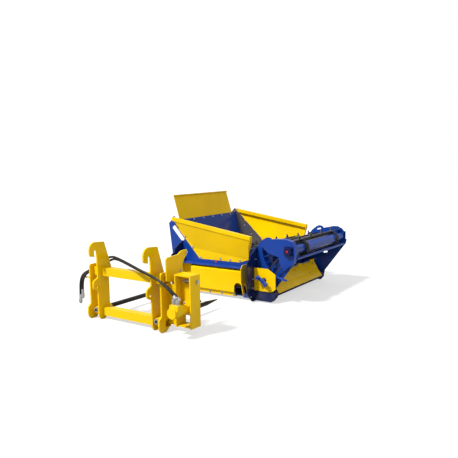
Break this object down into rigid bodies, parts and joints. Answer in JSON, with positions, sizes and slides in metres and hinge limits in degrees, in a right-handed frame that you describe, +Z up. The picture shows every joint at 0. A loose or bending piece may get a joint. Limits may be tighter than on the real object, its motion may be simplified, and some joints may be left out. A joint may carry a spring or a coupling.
{
  "type": "round bale unroller with loader headstock",
  "caption": "Side-discharge round-bale unroller with a chain-and-slat conveyor, and its detachable spear headstock with hydraulic motor and hoses parked in front.",
  "frame": {"origin": "middle of the base on the ground, unroller and parked headstock together", "axes": "+X along the conveyor to its outlet, +Y from the headstock to the unroller, +Z up"},
  "size_m": [1.7299, 2.9484, 1.1098],
  "materials": {
    "yellow_paint": "gloss paint over steel, scuffed on edges",
    "blue_paint": "gloss paint over steel",
    "navy_paint": "dark gloss paint over steel",
    "worn_steel": "bare steel, dulled and rubbed",
    "dark_steel": "oiled dark steel",
    "zinc_steel": "zinc plate",
    "black_paint": "satin black paint",
    "red_cap": "moulded plastic",
    "hose_rubber": "rubber with a cloth impression"
  },
  "bodies": {
    "unroller": {"side_plate_front": "blue_paint", "side_plate_rear": "blue_paint", "hopper_end_wall": "blue_paint", "conveyor_bed": "worn_steel", "hopper_panel_front": "yellow_paint", "hopper_panel_rear": "yellow_paint", "backboard": "yellow_paint", "hopper_bolts": "zinc_steel", "pocket_tube_left": "navy_paint", "pocket_tube_right": "navy_paint", "base_plate": "yellow_paint", "front_guard": "yellow_paint", "frame_bolts": "zinc_steel", "front_ledge": "blue_paint", "pocket_brackets": "yellow_paint", "post_left": "navy_paint", "post_right": "navy_paint", "dog_guard": "yellow_paint", "chain_case": "blue_paint", "drive_bearings": "navy_paint", "idler_bearings": "navy_paint", "grease_caps": "red_cap", "outlet_tube": "blue_paint", "front_skid": "navy_paint", "cross_members": "navy_paint", "chain_tensioner": "navy_paint", "flap_rod": "zinc_steel", "conveyor_chains": "dark_steel", "conveyor_slats": "worn_steel", "drive_chain": "dark_steel"},
    "headstock": {"hook_plate_left": "yellow_paint", "hook_plate_right": "yellow_paint", "outer_plate_left": "yellow_paint", "outer_plate_right": "yellow_paint", "upper_beam": "yellow_paint", "lower_beam": "yellow_paint", "spear_sleeves": "yellow_paint", "spears": "black_paint", "spear_nuts": "zinc_steel", "motor_box": "yellow_paint", "hydraulic_motor": "yellow_paint", "hose_fittings": "zinc_steel", "pressure_hose": "hose_rubber", "return_hose": "hose_rubber", "hose_couplers": "zinc_steel"},
    "latch": {"latch_pins": "zinc_steel", "latch_plate": "yellow_paint"},
    "motor_shaft": {"motor_coupling": "navy_paint"},
    "drive": {"drive_shaft": "dark_steel", "drive_sprockets": "dark_steel", "end_drum": "blue_paint", "chain_wheel": "dark_steel"},
    "dog": {"dog_shaft": "blue_paint", "dog_sprocket": "dark_steel"},
    "middle": {"middle_shaft": "dark_steel", "middle_rollers": "dark_steel"},
    "tail": {"tail_shaft": "dark_steel", "tail_rollers": "dark_steel"},
    "flap": {"deflector_flap": "yellow_paint", "flap_bolts": "zinc_steel"}
  },
  "joints": [
    {"name": "dock_slide", "type": "slide", "parent": "unroller", "child": "headstock", "axis": [0, 1, 0], "range_m": [0, 1.07]},
    {"name": "latch_swing", "type": "hinge", "parent": "headstock", "child": "latch", "pos_m": [0.328, -1.2262, 0.47], "axis": [1, 0, 0], "range_deg": [0, 20]},
    {"name": "motor_spin", "type": "hinge", "parent": "headstock", "child": "motor_shaft", "pos_m": [0.493, -1.2362, 0.24], "axis": [0, 1, 0], "continuous": true},
    {"name": "drive_spin", "type": "hinge", "parent": "unroller", "child": "drive", "pos_m": [0.783, 0.7588, 0.57055], "axis": [0, 1, 0], "continuous": true},
    {"name": "dog_spin", "type": "hinge", "parent": "unroller", "child": "dog", "pos_m": [0.493, 0.0588, 0.24], "axis": [0, 1, 0], "continuous": true},
    {"name": "middle_spin", "type": "hinge", "parent": "unroller", "child": "middle", "pos_m": [-0.177, 0.7588, 0.37], "axis": [0, 1, 0], "continuous": true},
    {"name": "tail_spin", "type": "hinge", "parent": "unroller", "child": "tail", "pos_m": [-0.592, 0.7588, 0.2833], "axis": [0, 1, 0], "continuous": true},
    {"name": "flap_swing", "type": "hinge", "parent": "unroller", "child": "flap", "pos_m": [0.453, 0.7588, 0.258], "axis": [0, -1, 0], "range_deg": [0, 60]}
  ],
  "couplings": [
    {"joint": "dog_spin", "follows": "drive_spin", "ratio": 1.3333},
    {"joint": "middle_spin", "follows": "drive_spin", "ratio": 1},
    {"joint": "tail_spin", "follows": "drive_spin", "ratio": 1}
  ]
}
